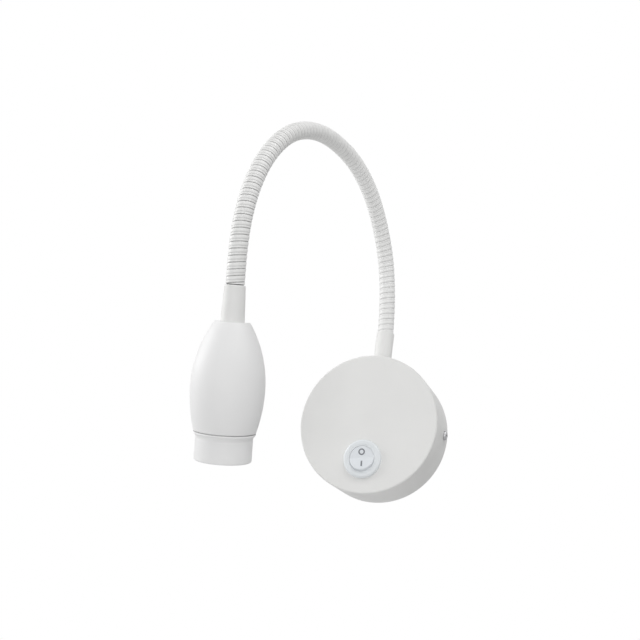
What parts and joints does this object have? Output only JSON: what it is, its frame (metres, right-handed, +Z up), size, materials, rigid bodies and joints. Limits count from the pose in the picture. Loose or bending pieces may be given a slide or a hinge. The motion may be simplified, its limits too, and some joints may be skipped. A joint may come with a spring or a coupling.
{
  "type": "wall reading lamp",
  "caption": "Wall-mounted reading lamp with a round canopy, a rocker switch, a ribbed gooseneck and an egg-shaped spot head.",
  "frame": {"origin": "centre of the canopy's back, on the wall face", "axes": "+Z up, -Y out of the wall, +X to the right for someone who faces the wall"},
  "size_m": [0.1072, 0.167, 0.2105],
  "materials": {
    "canopy_paint": "smooth white powder coat",
    "ferrule_paint": "satin white paint",
    "hose_paint": "satin white paint on wound wire",
    "head_paint": "gloss white paint",
    "zinc_steel": "zinc plated",
    "white_screw": "painted screw head",
    "spring_steel": "bright spring wire",
    "brass": "plain brass",
    "black_rubber": "moulded",
    "white_nylon": "moulded",
    "board_green": "solder mask",
    "board_white": "solder mask",
    "lead_sheath": "extruded sheath",
    "switch_white": "moulded, fine texture",
    "rocker_white": "moulded",
    "sink_aluminium": "turned",
    "led_yellow": "phosphor",
    "clear_lens": "moulded clear lens"
  },
  "bodies": {
    "base": {"canopy": "canopy_paint", "mounting_plate": "zinc_steel", "side_screws": "white_screw", "cable_grommet": "black_rubber", "terminal_block": "white_nylon", "terminal_clamp_screws": "brass", "terminal_block_screw": "zinc_steel", "earth_screw": "zinc_steel", "earth_tag": "brass", "driver_case": "white_nylon", "driver_lid": "white_nylon", "driver_board": "board_green", "driver_screws": "zinc_steel", "driver_leads": "lead_sheath", "switch_lead": "lead_sheath", "switch_housing": "switch_white", "switch_terminals": "brass", "hose_nut": "brass", "lock_washer": "zinc_steel", "base_ferrule": "ferrule_paint", "flex_lead": "lead_sheath"},
    "link_01": {"hose_link_01": "hose_paint"},
    "link_02": {"hose_link_02": "hose_paint"},
    "link_03": {"hose_link_03": "hose_paint"},
    "link_04": {"hose_link_04": "hose_paint"},
    "link_05": {"hose_link_05": "hose_paint"},
    "link_06": {"hose_link_06": "hose_paint"},
    "link_07": {"hose_link_07": "hose_paint"},
    "link_08": {"hose_link_08": "hose_paint"},
    "link_09": {"hose_link_09": "hose_paint"},
    "link_10": {"hose_link_10": "hose_paint"},
    "link_11": {"hose_link_11": "hose_paint"},
    "link_12": {"hose_link_12": "hose_paint"},
    "link_13": {"hose_link_13": "hose_paint"},
    "link_14": {"hose_link_14": "hose_paint"},
    "link_15": {"hose_link_15": "hose_paint"},
    "link_16": {"hose_link_16": "hose_paint"},
    "link_17": {"hose_link_17": "hose_paint"},
    "head": {"head_ferrule": "head_paint", "head_shell": "head_paint", "head_nut": "brass", "front_ring": "head_paint", "heat_sink": "sink_aluminium", "led_board": "board_white", "led_board_screws": "zinc_steel", "led_emitter": "led_yellow", "lens_holder": "white_nylon", "lens": "clear_lens"},
    "rocker": {"rocker": "rocker_white", "rocker_spring": "spring_steel", "rocker_plunger": "switch_white"},
    "contact": {"contact_lever": "brass"}
  },
  "joints": [
    {"name": "lower_bend_1", "type": "hinge", "parent": "base", "child": "link_01", "pos_m": [0, -0.015, 0.06157], "axis": [0.9537, -0.3007, 0], "range_deg": [-9, 1.5], "deforming": ["flex_lead"]},
    {"name": "lower_bend_2", "type": "hinge", "parent": "link_01", "child": "link_02", "pos_m": [-0.00054, -0.01672, 0.07873], "axis": [0.9537, -0.3007, 0], "range_deg": [-9, 1.5]},
    {"name": "lower_bend_3", "type": "hinge", "parent": "link_02", "child": "link_03", "pos_m": [-0.00162, -0.02014, 0.0956], "axis": [0.9537, -0.3007, 0], "range_deg": [-9, 1.5]},
    {"name": "lower_bend_4", "type": "hinge", "parent": "link_03", "child": "link_04", "pos_m": [-0.00339, -0.02577, 0.11181], "axis": [0.9537, -0.3007, 0], "range_deg": [-9, 1.5]},
    {"name": "lower_sway_1", "type": "hinge", "parent": "link_04", "child": "link_05", "pos_m": [-0.00611, -0.03436, 0.12652], "axis": [-0.2145, -0.6802, -0.7009], "range_deg": [-11, 11]},
    {"name": "lower_bend_5", "type": "hinge", "parent": "link_05", "child": "link_06", "pos_m": [-0.00873, -0.04619, 0.1388], "axis": [0.9648, -0.2593, -0.0435], "range_deg": [-9, 1.5]},
    {"name": "lower_bend_6", "type": "hinge", "parent": "link_06", "child": "link_07", "pos_m": [-0.01212, -0.06035, 0.14804], "axis": [0.9648, -0.2593, -0.0435], "range_deg": [-9, 1.5]},
    {"name": "lower_bend_7", "type": "hinge", "parent": "link_07", "child": "link_08", "pos_m": [-0.01614, -0.07622, 0.1535], "axis": [0.9648, -0.2593, -0.0435], "range_deg": [-9, 1.5]},
    {"name": "lower_sway_2", "type": "hinge", "parent": "link_08", "child": "link_09", "pos_m": [-0.02056, -0.09286, 0.15453], "axis": [0.0062, 0.188, -0.9822], "range_deg": [-11, 11]},
    {"name": "upper_bend_1", "type": "hinge", "parent": "link_09", "child": "link_10", "pos_m": [-0.02333, -0.10958, 0.15132], "axis": [0.987, -0.1589, -0.0242], "range_deg": [-9, 2]},
    {"name": "upper_bend_2", "type": "hinge", "parent": "link_10", "child": "link_11", "pos_m": [-0.02603, -0.12531, 0.14479], "axis": [0.987, -0.1589, -0.0242], "range_deg": [-9, 2]},
    {"name": "upper_bend_3", "type": "hinge", "parent": "link_11", "child": "link_12", "pos_m": [-0.02855, -0.13952, 0.13533], "axis": [0.987, -0.1589, -0.0242], "range_deg": [-9, 2]},
    {"name": "upper_sway_1", "type": "hinge", "parent": "link_12", "child": "link_13", "pos_m": [-0.03072, -0.15114, 0.12277], "axis": [0.1304, 0.8795, -0.4577], "range_deg": [-12, 12]},
    {"name": "upper_bend_4", "type": "hinge", "parent": "link_13", "child": "link_14", "pos_m": [-0.03397, -0.15858, 0.10755], "axis": [0.9734, -0.2012, -0.1093], "range_deg": [-9, 2]},
    {"name": "upper_bend_5", "type": "hinge", "parent": "link_14", "child": "link_15", "pos_m": [-0.03655, -0.16198, 0.09083], "axis": [0.9734, -0.2012, -0.1093], "range_deg": [-9, 2]},
    {"name": "upper_bend_6", "type": "hinge", "parent": "link_15", "child": "link_16", "pos_m": [-0.03845, -0.16187, 0.07369], "axis": [0.9734, -0.2012, -0.1093], "range_deg": [-9, 2]},
    {"name": "upper_sway_2", "type": "hinge", "parent": "link_16", "child": "link_17", "pos_m": [-0.03966, -0.15854, 0.05681], "axis": [0.2256, 0.9241, 0.3086], "range_deg": [-12, 12]},
    {"name": "upper_bend_7", "type": "hinge", "parent": "link_17", "child": "head", "pos_m": [-0.04062, -0.15287, 0.04054], "axis": [0.9726, -0.1955, -0.1257], "range_deg": [-9, 2]},
    {"name": "rocker_tilt", "type": "hinge", "parent": "base", "child": "rocker", "pos_m": [0, -0.0292, -0.022], "axis": [0.9903, 0, 0.1392], "range_deg": [0, 14]},
    {"name": "contact_tilt", "type": "hinge", "parent": "base", "child": "contact", "pos_m": [0, -0.0178, -0.022], "axis": [0.9903, 0, 0.1392], "range_deg": [-7, 0]}
  ],
  "couplings": [
    {"joint": "lower_bend_2", "follows": "lower_bend_1", "ratio": 1},
    {"joint": "lower_bend_3", "follows": "lower_bend_1", "ratio": 1},
    {"joint": "lower_bend_4", "follows": "lower_bend_1", "ratio": 1},
    {"joint": "lower_bend_5", "follows": "lower_bend_1", "ratio": 1},
    {"joint": "lower_bend_6", "follows": "lower_bend_1", "ratio": 1},
    {"joint": "lower_bend_7", "follows": "lower_bend_1", "ratio": 1},
    {"joint": "lower_sway_2", "follows": "lower_sway_1", "ratio": 1},
    {"joint": "upper_bend_2", "follows": "upper_bend_1", "ratio": 1},
    {"joint": "upper_bend_3", "follows": "upper_bend_1", "ratio": 1},
    {"joint": "upper_bend_4", "follows": "upper_bend_1", "ratio": 1},
    {"joint": "upper_bend_5", "follows": "upper_bend_1", "ratio": 1},
    {"joint": "upper_bend_6", "follows": "upper_bend_1", "ratio": 1},
    {"joint": "upper_sway_2", "follows": "upper_sway_1", "ratio": 1},
    {"joint": "upper_bend_7", "follows": "upper_bend_1", "ratio": 1},
    {"joint": "contact_tilt", "follows": "rocker_tilt", "ratio": -0.5}
  ]
}
